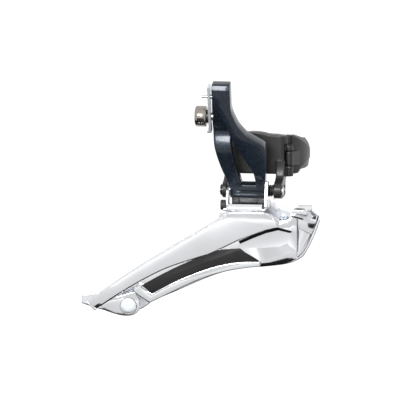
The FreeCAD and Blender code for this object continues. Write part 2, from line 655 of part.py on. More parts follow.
def cage_outer_plate():
    """Outboard cage plate: pressed steel sheet with a raised swoosh, a groove, a panel and a turned front."""
    plate = prism_y(cage_outline(), OUT_Y, OUT_Y + OUT_T)
    pressed = prism_y(groove_outline(-0.9), OUT_Y + OUT_T - 0.1, OUT_Y + OUT_T + GROOVE_D - 0.2)
    tab = prism_y([
        [(-70.2, -61.6), (-69.6, -65.0)],
        [(-69.6, -65.0), (-64.4, -66.9)],
        [(-64.4, -66.9), (-60.0, -67.9), (-55.4, -67.6), (-52.6, -65.0), (-52.4, -61.4)],
        [(-52.4, -61.4), (-55.6, -57.4)],
        [(-55.6, -57.4), (-62.0, -56.0)],
    ], OUT_Y + OUT_T - 0.05, OUT_Y + OUT_T + 1.15)
    tail_lip = prism_y(polygon([(-77.2, -62.2), (-76.4, -61.4), (-71.9, -64.9), (-72.4, -65.8)]),
                       OUT_Y, OUT_Y + 3.4)
    facet = turned_bend(front_facet(OUT_T))
    bridge = front_bridge_strap()
    body = fuse([plate, pressed, tab, tail_lip, rim(), swoosh_pad(), facet, bridge])
    body = body.cut(prism_y(groove_outline(0.0), OUT_Y - 2, OUT_Y + GROOVE_D))
    body = body.cut(recess())
    body = body.cut(rod_y(1.9 + RUN, -60, -40, TAIL_X, TAIL_Z))
    body = body.cut(rod_y(4.1, -60, OUT_Y + OUT_T - 0.05, TAIL_X, TAIL_Z))
    for x, z in FRONT_RIVETS:
        body = body.cut(rod_y(RIVET_R + 0.02, -40, -30, x, z))
    return body.removeSplitter()


def front_bridge_strap():
    """Strap folded over the chain from the outer plate's front to the back of the inner plate."""
    top = prism_z([
        [(17.4, -46.8), (24.0, -45.2)],
        [(24.0, -45.2), (25.2, -43.6)],
        [(25.2, -43.6), (24.8, -32.4)],
        [(24.8, -32.4), (18.6, -32.4)],
    ], -18.6, -17.3)
    face = prism_y(polygon([(17.2, -17.3), (24.4, -17.3), (24.4, -20.2), (17.2, -19.2)]), -46.9, -45.7)
    face = face.common(box(10, 30, -60, -40, -30, 0))
    leg = box(18.6, 24.8, -33.6, -32.4, -26.0, -17.3)
    return fuse([top, face, leg])


def groove_lining():
    """Gloss black strip laid in the groove of the outer plate."""
    return prism_y(groove_outline(0.12), OUT_Y + GROOVE_D - 0.5, OUT_Y + GROOVE_D)


def cage_inner_plate():
    """Inboard cage plate, longer at the tail and the front than the outer plate."""
    outline = [
        [(27.6, -21.0), (25.2, -19.4)],
        [(25.2, -19.4), (15.5, -19.6)],
        [(15.5, -19.6), (9.5, -17.8)],
        [(9.5, -17.8), (7.6, -14.6)],
        [(7.6, -14.6), (5.5, -14.2)],
        [(5.5, -14.2), (5.4, -18.9)],
        [(5.4, -18.9), (-14.4, -18.9)],
        [(-14.4, -18.9), (-14.6, -20.4)],
        [(-14.6, -20.4), (-17.2, -21.0)],
        [(-17.2, -21.0), (-17.6, -24.6)],
        [(-17.6, -24.6), (-43.0, -41.2), (-61.3, -53.2), (-72.0, -59.0)],
        [(-72.0, -59.0), (-80.0, -60.4)],
        [(-80.0, -60.4), (-80.4, -61.0)],
        [(-80.4, -61.0), (-80.6, -64.4)],
        [(-80.6, -64.4), (-72.0, -67.0), (-58.0, -68.0), (-48.0, -62.4)],
        [(-48.0, -62.4), (-38.4, -58.4), (-20.0, -50.2), (-1.7, -45.8), (14.4, -44.0), (21.0, -40.6)],
        [(21.0, -40.6), (25.6, -32.0), (28.6, -24.0)],
        [(28.6, -24.0), (27.6, -21.0)],
    ]
    plate = prism_y(outline, IN_Y, IN_Y + IN_T)
    rib = prism_y([
        [(-62.0, -56.4), (-40.0, -46.6), (-16.0, -36.0), (12.0, -31.0)],
        [(12.0, -31.0), (13.6, -33.6)],
        [(13.6, -33.6), (-14.0, -38.8), (-38.0, -49.8), (-60.6, -59.6)],
    ], IN_Y - 0.7, IN_Y + 0.2)
    body = fuse([plate, rib])
    body = body.cut(prism_y(pad_outline(0.12), IN_Y - 2, IN_Y + 0.35))
    body = body.cut(rod_y(1.9 + RUN, -40, -30, TAIL_X, TAIL_Z))
    for x, z in WEB_RIVETS + FRONT_RIVETS:
        body = body.cut(rod_y(RIVET_R + 0.02, -40, -30, x, z))
    return body.removeSplitter()


def pad_outline(grow):
    g = grow
    return [
        [(-30.0 - g, -50.0), (-26.0, -51.4 - g)],
        [(-26.0, -51.4 - g), (-10.0, -46.6 - g), (2.0, -44.2 - g), (10.0, -43.0 - g)],
        [(10.0, -43.0 - g), (12.0 + g, -39.0 + g)],
        [(12.0 + g, -39.0 + g), (0.0, -40.6 + g), (-12.0, -42.8 + g), (-28.0, -48.4 + g)],
    ]


def skid_pad():
    """Nylon rub strip set into the chain side of the inner plate."""
    return prism_y(pad_outline(0.0), IN_Y - 0.5, IN_Y + 0.35)


def rivet(x, z, y0, y1):
    """Solid rivet with a low round head at both ends, between the outer faces y0 and y1."""
    shank = rod_y(RIVET_R, y0, y1, x, z)
    near = rod_y(1.9, y0 - 0.6, y0, x, z)
    far = rod_y(1.9, y1, y1 + 0.6, x, z)
    near = rounded(near, 0.4, lambda e: e.BoundBox.YMax < y0 - 0.5)
    far = rounded(far, 0.4, lambda e: e.BoundBox.YMin > y1 + 0.5)
    return shank.multiFuse([near, far]).removeSplitter()


def bracket_rivets():
    """Rivets that tie the bracket's web to the inner plate."""
    return Part.makeCompound([rivet(x, z, IN_Y, -32.8) for x, z in WEB_RIVETS])


def bridge_rivets():
    """Rivets that tie the bridge's leg to the inner plate."""
    return Part.makeCompound([rivet(x, z, IN_Y, -32.4) for x, z in FRONT_RIVETS])


def tail_spacer():
    """Tube that holds the two plates apart at the tail."""
    tube = rod_y(3.0, OUT_Y + OUT_T + 1.15, IN_Y, TAIL_X, TAIL_Z)
    return tube.cut(rod_y(1.9 + RUN, -60, -20, TAIL_X, TAIL_Z))


def tail_screw():
    """Flat disc headed screw that closes the tail."""
    y = OUT_Y + OUT_T - 0.05
    head = rod_y(3.9, y - 1.5, y, TAIL_X, TAIL_Z)
    head = rounded(head, 0.35, lambda e: e.BoundBox.YMax < y - 1.4)
    head = head.cut(rod_y(1.0, y - 2, y - 1.0, TAIL_X, TAIL_Z))
    return head.fuse(rod_y(1.9, y, IN_Y + IN_T + 0.6, TAIL_X, TAIL_Z)).removeSplitter()


def tail_nut():
    """Low nut on the inner plate that takes the tail screw."""
    nut = hexagon(3.3, 2.0, V(TAIL_X, IN_Y + IN_T, TAIL_Z), V(0, 1, 0))
    return nut.cut(rod_y(1.9 + RUN, -60, -20, TAIL_X, TAIL_Z))


PARTS = {
    "base_bracket": base_bracket,
    "clamp_band": clamp_band,
    "clamp_hinge_pin": clamp_hinge_pin,
    "clamp_bolt": clamp_bolt,
    "clamp_washer": clamp_washer,
    "clamp_nut": clamp_nut,
    "long_arm": long_arm,
    "arm_bushes": arm_bushes,
    "cable_plate": cable_plate,
    "cable_collar": cable_collar,
    "cable_bolt": cable_bolt,
    "cable_guide_pin": cable_guide_pin,
    "inner_link": inner_link,
    "outer_base_pin": outer_base_pin,
    "inner_base_pin": inner_base_pin,
    "outer_cage_pin": outer_cage_pin,
    "inner_cage_pin": inner_cage_pin,
    "base_pin_clips": base_pin_clips,
    "cage_pin_clips": cage_pin_clips,
    "return_spring": return_spring,
    "spring_bush": spring_bush,
    "low_limit_screw": lambda: limit_screw(*LIMIT_SCREWS[0]),
    "high_limit_screw": lambda: limit_screw(*LIMIT_SCREWS[1]),
    "cage_bracket": cage_bracket,
    "stop_bumper": stop_bumper,
    "cage_outer_plate": cage_outer_plate,
    "groove_lining": groove_lining,
    "cage_inner_plate": cage_inner_plate,
    "skid_pad": skid_pad,
    "bracket_rivets": bracket_rivets,
    "bridge_rivets": bridge_rivets,
    "tail_spacer": tail_spacer,
    "tail_screw": tail_screw,
    "tail_nut": tail_nut,
}

for name, make in PARTS.items():
    shape = make()
    bb = shape.BoundBox
    print(name, "ok" if shape.isValid() else "INVALID", len(shape.Solids), "solids",
          "x %.1f..%.1f y %.1f..%.1f z %.1f..%.1f" % (bb.XMin, bb.XMax, bb.YMin, bb.YMax, bb.ZMin, bb.ZMax))
    shape.exportStep("parts/" + name + ".step")
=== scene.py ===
import json
import math

import bmesh
import bpy
from mathutils import Matrix, Vector

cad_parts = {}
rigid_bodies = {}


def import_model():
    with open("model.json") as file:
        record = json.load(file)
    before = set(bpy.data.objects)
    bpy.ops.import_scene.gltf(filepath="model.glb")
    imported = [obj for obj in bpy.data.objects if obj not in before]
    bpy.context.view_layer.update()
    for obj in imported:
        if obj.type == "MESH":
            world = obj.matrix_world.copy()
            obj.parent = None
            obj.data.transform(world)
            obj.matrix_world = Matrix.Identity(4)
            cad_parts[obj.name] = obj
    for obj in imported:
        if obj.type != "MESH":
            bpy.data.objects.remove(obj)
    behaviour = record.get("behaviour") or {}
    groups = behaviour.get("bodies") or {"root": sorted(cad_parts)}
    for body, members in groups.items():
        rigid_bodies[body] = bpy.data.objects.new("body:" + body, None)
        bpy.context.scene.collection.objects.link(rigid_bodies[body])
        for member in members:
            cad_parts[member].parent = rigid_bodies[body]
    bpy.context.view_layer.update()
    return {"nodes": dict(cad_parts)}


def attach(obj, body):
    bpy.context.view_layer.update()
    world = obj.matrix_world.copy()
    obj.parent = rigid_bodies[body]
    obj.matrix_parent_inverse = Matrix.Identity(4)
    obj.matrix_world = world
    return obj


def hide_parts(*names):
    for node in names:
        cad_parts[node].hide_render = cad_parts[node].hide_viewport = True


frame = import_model()
bpy.ops.object.select_all(action="DESELECT")

# Studio: a pale paper floor under an even sky, a softbox ahead for the highlights and a fill at the nose side. The
# object is seen from the drive side, a little from the front and above. Cards out of the camera's view are there to be
# mirrored: a grey one ahead tones the chrome down, black ones below and at both ends draw its dark edges.
VIEW_TURN = math.radians(8.0)
VIEW_RISE = math.radians(9.0)
VIEW_WIDTH = 0.18182
AIM_RIGHT, AIM_UP = -0.03091, -0.02045
LENS_AT = 8.0
SENSOR = 36.0
FLOOR_Z = -0.16
CARD_BLACK, CARD_GREY = 0.004, 0.58
back = Vector((math.sin(VIEW_TURN) * math.cos(VIEW_RISE), -math.cos(VIEW_TURN) * math.cos(VIEW_RISE),
               math.sin(VIEW_RISE)))
right = Vector((math.cos(VIEW_TURN), math.sin(VIEW_TURN), 0.0))
up = back.cross(right)
target = right * AIM_RIGHT + up * AIM_UP
bpy.ops.object.camera_add()
camera = bpy.context.object
camera.name = "studio_camera"
camera.data.sensor_width = SENSOR
camera.data.lens = SENSOR * LENS_AT / VIEW_WIDTH
camera.data.clip_end = 40.0
camera.location = target + back * LENS_AT
camera.rotation_euler = Matrix((right, up, back)).transposed().to_euler()
bpy.context.scene.camera = camera
bpy.context.scene.view_settings.view_transform = "Standard"


def paper(name, colour, size, place, turn=(0.0, 0.0)):
    """A flat sheet of matt studio paper, part of the stage and not of the object."""
    bpy.ops.mesh.primitive_plane_add(size=1.0, location=place)
    bpy.context.object.scale = (size[0], size[1], 1.0)
    bpy.context.object.rotation_euler = (math.radians(turn[0]), math.radians(turn[1]), 0.0)
    bpy.ops.object.transform_apply(location=True, rotation=True, scale=True)
    sheet = bpy.context.object
    sheet.name = name
    mat = bpy.data.materials.new(name)
    mat.use_nodes = True
    shader = mat.node_tree.nodes["Principled BSDF"]
    shader.inputs["Base Color"].default_value = (*colour, 1.0)
    shader.inputs["Roughness"].default_value = 0.95
    shader.inputs["Specular IOR Level"].default_value = 0.1
    sheet.data.materials.append(mat)
    return sheet


paper("studio_floor", (0.95, 0.95, 0.95), (24.0, 24.0), (0.0, 0.0, FLOOR_Z))
CARDS = [
    ("grey_card_ahead", CARD_GREY, (5.0, 3.2), (0.0, -1.85, -0.152), (0.0, 0.0)),
    ("black_card_under", CARD_BLACK, (0.56, 0.26), (-0.03, -0.11, -0.150), (0.0, 0.0)),
    ("black_card_nose_side", CARD_BLACK, (0.09, 0.60), (0.30, -0.20, -0.105), (0.0, 90.0)),
    ("black_card_tail_side", CARD_BLACK, (0.16, 0.30), (-0.38, -0.05, -0.08), (0.0, 90.0)),
]
for name, tone, size, place, turn in CARDS:
    card = paper(name, (tone, tone, tone), size, place, turn)
    card.visible_camera = False
    card.visible_shadow = False
    card.visible_diffuse = False

# the sky dims a little towards the floor on the camera's side
world = bpy.context.scene.world or bpy.data.worlds.new("studio_world")
bpy.context.scene.world = world
world.use_nodes = True
sky = world.node_tree
where = sky.nodes.new("ShaderNodeTexCoord")
axes = sky.nodes.new("ShaderNodeSeparateXYZ")
sky.links.new(where.outputs["Generated"], axes.inputs["Vector"])
tilt = sky.nodes.new("ShaderNodeMath")
tilt.operation = "MULTIPLY_ADD"
tilt.inputs[1].default_value = 1.1
sky.links.new(axes.outputs["Z"], tilt.inputs[0])
sky.links.new(axes.outputs["Y"], tilt.inputs[2])
glow = sky.nodes.new("ShaderNodeMapRange")
glow.inputs["From Min"].default_value = -0.95
glow.inputs["From Max"].default_value = -0.10
glow.inputs["To Min"].default_value = 0.80
glow.inputs["To Max"].default_value = 1.0
sky.links.new(tilt.outputs["Value"], glow.inputs["Value"])
sky.links.new(glow.outputs["Result"], sky.nodes["Background"].inputs["Strength"])
sky.nodes["Background"].inputs["Color"].default_value = (1.0, 1.0, 1.0, 1.0)


def softbox(name, place, aim, width, height, power):
    """A rectangular studio light at place, turned to face aim."""
    bpy.ops.object.light_add(type="AREA", location=place)
    lamp = bpy.context.object
    lamp.name = name
    lamp.data.shape = "RECTANGLE"
    lamp.data.size = width
    lamp.data.size_y = height
    lamp.data.energy = power
    lamp.rotation_euler = (Vector(place) - Vector(aim)).to_track_quat("Z", "Y").to_euler()


softbox("key_light", (-0.55, -2.75, 1.15), (0.0, -0.03, 0.0), 1.3, 0.8, 66.0)
softbox("side_fill", (2.4, -1.2, 1.4), (0.0, 0.0, 0.0), 1.0, 1.0, 14.0)

# Clamp and base: the base is an aluminium casting painted satin black, one half of the seat tube clamp with a block
# and two ears in one piece. The inner half hinges on a pin at the front. Cast corners are soft all over.
CAST_GRID = 0.00030
CAST_PASSES = 5
BLACK_PAINT = (0.007, 0.007, 0.0075)


def softened(node, name, grid, passes):
    """A solid rebuilt on an even grid and rubbed down, so that every corner is rounded as on a casting."""
    bpy.ops.object.select_all(action="DESELECT")
    mesh = frame["nodes"][node].data.copy()
    piece = bpy.data.objects.new(name, mesh)
    mesh.name = name
    bpy.context.scene.collection.objects.link(piece)
    bpy.context.view_layer.objects.active = piece
    piece.select_set(True)
    bpy.ops.object.mode_set(mode="EDIT")
    bpy.ops.mesh.select_all(action="SELECT")
    bpy.ops.mesh.remove_doubles(threshold=0.000002)
    bpy.ops.object.mode_set(mode="OBJECT")
    even = piece.modifiers.new("even_grid", "REMESH")
    even.mode = "VOXEL"
    even.voxel_size = grid
    bpy.ops.object.modifier_apply(modifier=even.name)
    rub = piece.modifiers.new("rubbed_down", "SMOOTH")
    rub.factor = 0.5
    rub.iterations = passes
    bpy.ops.object.modifier_apply(modifier=rub.name)
    bpy.ops.object.shade_smooth()
    piece.data.materials.clear()
    return piece


def new_group(name, inputs, outputs):
    """An empty shader node group with its sockets, and its input and output nodes."""
    tree = bpy.data.node_groups.new(name, "ShaderNodeTree")
    for label, kind, value in inputs:
        socket = tree.interface.new_socket(label, in_out="INPUT", socket_type=kind)
        if value is not None:
            socket.default_value = value
    for label, kind in outputs:
        tree.interface.new_socket(label, in_out="OUTPUT", socket_type=kind)
    return tree, tree.nodes.new("NodeGroupInput"), tree.nodes.new("NodeGroupOutput")


def noise(tree, vector, scale, detail, roughness=0.55):
    """A noise texture on the given vector; the scale is a number or a socket."""
    node = tree.nodes.new("ShaderNodeTexNoise")
    node.inputs["Detail"].default_value = detail
    node.inputs["Roughness"].default_value = roughness
    if isinstance(scale, float):
        node.inputs["Scale"].default_value = scale
    else:
        tree.links.new(scale, node.inputs["Scale"])
    tree.links.new(vector, node.inputs["Vector"])
    return node


def worked_surface():
    """Cloudy tone, fine grain and drawn scratches that every metal and plastic piece shares."""
    tree, given, made = new_group(
        "worked_surface",
        [("Vector", "NodeSocketVector", None), ("Cloud Scale", "NodeSocketFloat", 60.0),
         ("Grain Scale", "NodeSocketFloat", 1800.0), ("Scratch Scale", "NodeSocketFloat", 240.0)],
        [("Tone", "NodeSocketFloat"), ("Grain", "NodeSocketFloat"), ("Scratch", "NodeSocketFloat")])
    cloud = noise(tree, given.outputs["Vector"], given.outputs["Cloud Scale"], 4.0)
    grain = noise(tree, given.outputs["Vector"], given.outputs["Grain Scale"], 2.0)
    stretch = tree.nodes.new("ShaderNodeMapping")
    stretch.inputs["Scale"].default_value = (1.0, 1.0, 14.0)
    stretch.inputs["Rotation"].default_value = (0.0, math.radians(38), 0.0)
    tree.links.new(given.outputs["Vector"], stretch.inputs["Vector"])
    streak = noise(tree, stretch.outputs["Vector"], given.outputs["Scratch Scale"], 2.0)
    thin = tree.nodes.new("ShaderNodeMapRange")
    thin.inputs["From Min"].default_value = 0.60
    thin.inputs["From Max"].default_value = 0.72
    tree.links.new(streak.outputs["Fac"], thin.inputs["Value"])
    tree.links.new(cloud.outputs["Fac"], made.inputs["Tone"])
    tree.links.new(grain.outputs["Fac"], made.inputs["Grain"])
    tree.links.new(thin.outputs["Result"], made.inputs["Scratch"])
    return tree


WORKED = worked_surface()


def mapped(tree, source, low, high):
    """The middle of a noise's spread, stretched over low to high."""
    node = tree.nodes.new("ShaderNodeMapRange")
    node.inputs["From Min"].default_value = 0.3
    node.inputs["From Max"].default_value = 0.7
    node.inputs["To Min"].default_value = low
    node.inputs["To Max"].default_value = high
    tree.links.new(source, node.inputs["Value"])
    return node.outputs["Result"]


def finish(name, colour, metallic, rough, spread=0.06, tone=0.08, bump=0.02, cloud=60.0, grain=1800.0,
           scratch=0.04, edge=0.00025, coat=0.0, flake=0.0, gloss=0.5):
    """A metal, paint or plastic finish: wandering tone and roughness, fine grain, faint scratches, eased edges."""
    mat = bpy.data.materials.new(name)
    mat.use_nodes = True
    tree = mat.node_tree
    shader = tree.nodes["Principled BSDF"]
    where = tree.nodes.new("ShaderNodeTexCoord")
    worn = tree.nodes.new("ShaderNodeGroup")
    worn.node_tree = WORKED
    worn.inputs["Cloud Scale"].default_value = cloud
    worn.inputs["Grain Scale"].default_value = grain
    tree.links.new(where.outputs["Object"], worn.inputs["Vector"])
    mix = tree.nodes.new("ShaderNodeMix")
    mix.data_type = "RGBA"
    mix.inputs["A"].default_value = (*[c * (1 - tone) for c in colour], 1.0)
    mix.inputs["B"].default_value = (*[min(1.0, c * (1 + tone)) for c in colour], 1.0)
    tree.links.new(mapped(tree, worn.outputs["Tone"], 0.0, 1.0), mix.inputs["Factor"])
    shade = mix.outputs["Result"]
    if flake:
        cell = tree.nodes.new("ShaderNodeTexVoronoi")
        cell.inputs["Scale"].default_value = 2600.0
        tree.links.new(where.outputs["Object"], cell.inputs["Vector"])
        glint = tree.nodes.new("ShaderNodeSeparateColor")
        tree.links.new(cell.outputs["Color"], glint.inputs["Color"])
        lift = tree.nodes.new("ShaderNodeMapRange")
        lift.inputs["To Min"].default_value = 1.0 - flake
        lift.inputs["To Max"].default_value = 1.0 + flake
        tree.links.new(glint.outputs["Red"], lift.inputs["Value"])
        speck = tree.nodes.new("ShaderNodeVectorMath")
        speck.operation = "SCALE"
        tree.links.new(shade, speck.inputs[0])
        tree.links.new(lift.outputs["Result"], speck.inputs["Scale"])
        shade = speck.outputs["Vector"]
    tree.links.new(shade, shader.inputs["Base Color"])
    add = tree.nodes.new("ShaderNodeMath")
    add.operation = "MULTIPLY_ADD"
    add.inputs[1].default_value = scratch
    tree.links.new(worn.outputs["Scratch"], add.inputs[0])
    tree.links.new(mapped(tree, worn.outputs["Tone"], max(0.02, rough - spread), rough + spread), add.inputs[2])
    tree.links.new(add.outputs["Value"], shader.inputs["Roughness"])
    raised = tree.nodes.new("ShaderNodeBump")
    raised.inputs["Strength"].default_value = bump * 10
    raised.inputs["Distance"].default_value = 0.0001
    tree.links.new(worn.outputs["Grain"], raised.inputs["Height"])
    if edge:
        ease = tree.nodes.new("ShaderNodeBevel")
        ease.samples = 4
        ease.inputs["Radius"].default_value = edge
        tree.links.new(ease.outputs["Normal"], raised.inputs["Normal"])
    tree.links.new(raised.outputs["Normal"], shader.inputs["Normal"])
    shader.inputs["Metallic"].default_value = metallic
    shader.inputs["Specular IOR Level"].default_value = gloss
    shader.inputs["Coat Weight"].default_value = coat
    shader.inputs["Coat Roughness"].default_value = 0.10
    return mat


def wear(node, mat):
    """Give a carried-over CAD node its finish."""
    mesh = frame["nodes"][node].data
    mesh.materials.clear()
    mesh.materials.append(mat)


satin_black = finish("satin_black_paint_and_painted_shade", BLACK_PAINT, 0.0, 0.36, tone=0.25, bump=0.07, grain=2600.0, edge=0.0,
                     gloss=0.6)
for node, name, body in (("base_bracket", "cast_base", "base"), ("clamp_band", "cast_clamp_half", "clamp_half")):
    casting = softened(node, name, CAST_GRID, CAST_PASSES)
    casting.data.materials.append(satin_black)
    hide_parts(node)
    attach(casting, body)

# Clamp hardware: zinc plated socket bolt, its seat washer, the round nut on the far lug and the dark hinge pin. They
# are turned or headed parts, threaded or pressed into the castings.
dark_steel = finish("dark_oxide_steel_and_painted_shade", (0.05, 0.05, 0.055), 0.9, 0.35)
zinc_steel = finish("bright_zinc_steel", (0.70, 0.74, 0.79), 1.0, 0.24, bump=0.004, tone=0.05, edge=0.0)
wear("clamp_hinge_pin", dark_steel)
for node in ("clamp_bolt", "clamp_washer", "clamp_nut"):
    wear(node, zinc_steel)

# Long arm: a forged aluminium lever in dark slate metallic paint. A flat band runs from the square head down to the
# right leg, a thinner blade twists away behind its crease to the left leg, and both meet over the pivot barrel. The
# lower link, the barrel and the foot are part of the same forging. It leans outboard about the base pivot at rest.
MM = 0.001
ARM_MID_Y = -30.0
ARM_PIVOT_Z = -11.6
ARM_FOOT = (-28.0, -30.6)
ARM_LEAN = math.radians(16.0)
BARREL_X = -4.65
ARM_HALF_T = 2.7
ARM_FRONT = ARM_MID_Y - ARM_HALF_T
SLATE_PAINT = (0.010, 0.017, 0.028)


def leaned(x, y, z):
    """A point given on the upright arm, in millimetres, turned outboard with the arm."""
    dy = y - ARM_MID_Y
    dz = z - ARM_PIVOT_Z
    return Vector((x, ARM_MID_Y + dy * math.cos(ARM_LEAN) - dz * math.sin(ARM_LEAN),
                   ARM_PIVOT_Z + dy * math.sin(ARM_LEAN) + dz * math.cos(ARM_LEAN))) * MM


def flowing(runs, steps=5):
    """Points along an outline of runs: two points make a straight, more make a smooth curve through them."""
    points = []
    for run in runs:
        if len(run) == 2:
            points += run[:1]
            continue
        for i in range(len(run) - 1):
            before = run[max(i - 1, 0)]
            after = run[min(i + 2, len(run) - 1)]
            for k in range(steps):
                t = k / steps
                a = 2 * t ** 3 - 3 * t ** 2 + 1
                b = t ** 3 - 2 * t ** 2 + t
                c = -2 * t ** 3 + 3 * t ** 2
                d = t ** 3 - t ** 2
                points.append(tuple(a * run[i][j] + b * (run[i + 1][j] - before[j]) / 2 + c * run[i + 1][j]
                                    + d * (after[j] - run[i][j]) / 2 for j in range(len(run[i]))))
    return points


def begin(name):
    """An empty piece, open in edit mode."""
    bpy.ops.object.select_all(action="DESELECT")
    bpy.ops.mesh.primitive_plane_add(size=MM)
    bpy.context.object.name = name
    bpy.context.object.data.name = name
    bpy.ops.object.mode_set(mode="EDIT")
    bpy.ops.mesh.delete(type="VERT")
    return bpy.context.object


def trace(points):
    """Draw a chain of edges: one vertex, extruded from point to point. The chain is left selected."""
    bpy.ops.mesh.select_all(action="DESELECT")
    bpy.ops.mesh.primitive_plane_add(size=0.01 * MM, location=points[0])
    bpy.ops.mesh.merge(type="CENTER")
    for here, there in zip(points, points[1:]):
        bpy.ops.mesh.extrude_region_move(TRANSFORM_OT_translate={"value": Vector(there) - Vector(here)})
    bpy.ops.mesh.select_linked()


def slab(points, push):
    """A closed outline filled and pushed into a solid."""
    trace(points)
    bpy.ops.mesh.edge_face_add()
    bpy.ops.mesh.extrude_region_move(TRANSFORM_OT_translate={"value": Vector(push)})
    bpy.ops.mesh.select_linked()
    bpy.ops.mesh.normals_make_consistent(inside=False)


def end():
    """Close the piece in hand."""
    bpy.ops.object.mode_set(mode="OBJECT")


def bevelled(piece, width, segments=3, limit=32.0):
    """Round the sharp edges of a finished solid and shade it smooth between them."""
    end()
    soft = piece.modifiers.new("eased_edges", "BEVEL")
    soft.width = width * MM
    soft.segments = segments
    soft.limit_method = "ANGLE"
    soft.angle_limit = math.radians(limit)
    bpy.ops.object.modifier_apply(modifier=soft.name)
    bpy.ops.object.shade_smooth_by_angle(angle=math.radians(40.0))


def skin(sections):
    """A closed body drawn through section loops, bridged one to the next and capped at both ends."""
    for points in sections:
        trace(points)
        bpy.ops.mesh.edge_face_add()
        bpy.ops.mesh.delete(type="ONLY_FACE")
    bpy.ops.mesh.select_all(action="SELECT")
    bpy.ops.mesh.bridge_edge_loops(type="SINGLE")
    bpy.ops.mesh.select_all(action="SELECT")
    bpy.ops.mesh.fill_holes(sides=0)
    bpy.ops.mesh.normals_make_consistent(inside=False)


def pick_along(piece, line, reach=0.1 * MM):
    """Select the edges whose ends both lie on a line of points."""
    bpy.ops.mesh.select_all(action="DESELECT")
    grid = bmesh.from_edit_mesh(piece.data)
    for edge in grid.edges:
        edge.select = all(min((v.co - p).length for p in line) < reach for v in edge.verts)
    grid.select_flush_mode()
    bmesh.update_edit_mesh(piece.data)


def joined(name, pieces):
    """Several shells made one piece."""
    bpy.ops.object.select_all(action="DESELECT")
    for piece in pieces:
        piece.select_set(True)
    bpy.context.view_layer.objects.active = pieces[0]
    bpy.ops.object.join()
    pieces[0].name = name
    pieces[0].data.name = name
    return pieces[0]


def dress(piece, mat, body, slot, *nodes):
    """Give a finished piece its material, the body it rides on and the nodes it stands for; the slot argument is not
    used.
    """
    piece.data.materials.clear()
    piece.data.materials.append(mat)
    if nodes:
        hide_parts(*nodes)
    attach(piece, body)


slate_flake = finish("slate_metallic_paint", SLATE_PAINT, 0.55, 0.30, tone=0.25, bump=0.05, grain=3000.0, coat=0.6,
                     edge=0.0, flake=0.55, gloss=0.3)
BAND_OUTLINE = [
    [(-19.5, 36.2), (-19.6, 40.4)],
    [(-19.6, 40.4), (-19.4, 41.0), (-18.8, 41.2)],
    [(-18.8, 41.2), (-12.1, 41.2)],
    [(-12.1, 41.2), (-11.4, 41.0), (-11.2, 40.3)],
    [(-11.2, 40.3), (-11.2, 30.4)],
    [(-11.2, 30.4), (-10.6, 27.0), (-8.1, 21.0), (-4.4, 16.4)],
    [(-4.4, 16.4), (2.7, 12.1)],
    [(2.7, 12.1), (3.6, 11.0), (3.9, 9.6)],
    [(3.9, 9.6), (3.3, -5.8)],
    [(3.3, -5.8), (3.3, -9.6)],
    [(3.3, -9.6), (-0.8, -9.6)],
    [(-0.8, -9.6), (-0.8, -8.4), (-1.9, -1.9), (-4.9, 3.5), (-8.8, 10.4), (-11.6, 15.6)],
    [(-11.6, 15.6), (-13.3, 20.4), (-15.6, 26.2), (-17.8, 31.4), (-19.5, 36.2)],
]
band = begin("arm_band")
slab([leaned(x, ARM_FRONT, z) for x, z in flowing(BAND_OUTLINE)], leaned(0, ARM_HALF_T, 0) - leaned(0, -ARM_HALF_T, 0))
# the head's upper front is dressed back in two flats: slope in degrees, then a point on each, set back and height
for slope, set_back, height in ((30.0, 0.0, 38.9), (62.0, 0.95, 40.6)):
    facing = leaned(0, -math.cos(math.radians(slope)), math.sin(math.radians(slope))) - leaned(0, 0, 0)
    bpy.ops.mesh.select_all(action="SELECT")
    bpy.ops.mesh.bisect(plane_co=leaned(0, ARM_FRONT + set_back, height), plane_no=facing.normalized(),
                        use_fill=True, clear_outer=True)
# the band's edge over the blade is broken by a wider bevel than the rest
pick_along(band, [leaned(x, ARM_FRONT, z) for x, z in flowing(BAND_OUTLINE[-1:])])
bpy.ops.mesh.bevel(offset=0.9 * MM, segments=3, profile=0.5)
bevelled(band, 0.45, limit=16.0)

# blade: height on the arm, left edge, right edge, and how far its front is set back at left, middle and right
BLADE = [
    (39.6, -19.4, -16.4, 0.9, 0.9, 0.9), (35.4, -19.8, -15.6, 0.9, 1.0, 1.1), (31.0, -19.9, -14.0, 1.0, 1.3, 1.5),
    (26.0, -20.0, -12.6, 1.2, 1.6, 2.0), (21.0, -20.1, -11.4, 2.3, 2.5, 2.8), (18.4, -20.15, -11.2, 3.5, 3.5, 3.4),
    (16.5, -20.1, -11.4, 3.75, 3.6, 3.45), (14.4, -20.0, -11.5, 2.6, 2.4, 2.25),
    (12.3, -19.85, -11.5, 1.45, 1.2, 1.05), (10.2, -19.6, -11.35, 0.5, 0.25, 0.15), (8.0, -19.1, -11.0, 0.3, 0.05, 0.1),
    (4.5, -18.3, -10.5, 0.3, 0.0, 0.2), (-1.0, -16.5, -9.3, 0.1, 0.0, 0.3), (-4.4, -15.0, -8.2, 0.1, 0.0, 0.3),
    (-7.4, -13.7, -7.4, 0.1, 0.0, 0.2), (-10.6, -12.7, -6.6, 0.1, 0.0, 0.1),
]
sections = []
for z, x0, x1, set0, set1, set2 in BLADE:
    rear = ARM_MID_Y + ARM_HALF_T - 0.3
    mid = (x0 + x1) / 2
    sections.append([leaned(*p) for p in (
        (x0, ARM_FRONT + set0 + 0.7, z), (x0 + 0.5, ARM_FRONT + set0 + 0.1, z), (x0 + 1.4, ARM_FRONT + set0, z),
        (mid, ARM_FRONT + set1, z), (x1 - 1.2, ARM_FRONT + set2, z), (x1 - 0.3, ARM_FRONT + set2 + 0.1, z),
        (x1, ARM_FRONT + set2 + 0.6, z), (x1, rear - 0.6, z), (x1 - 0.6, rear, z), (mid, rear, z),
        (x0 + 0.6, rear, z), (x0, rear - 0.6, z))])
blade = begin("arm_blade")
skin(sections)
end()
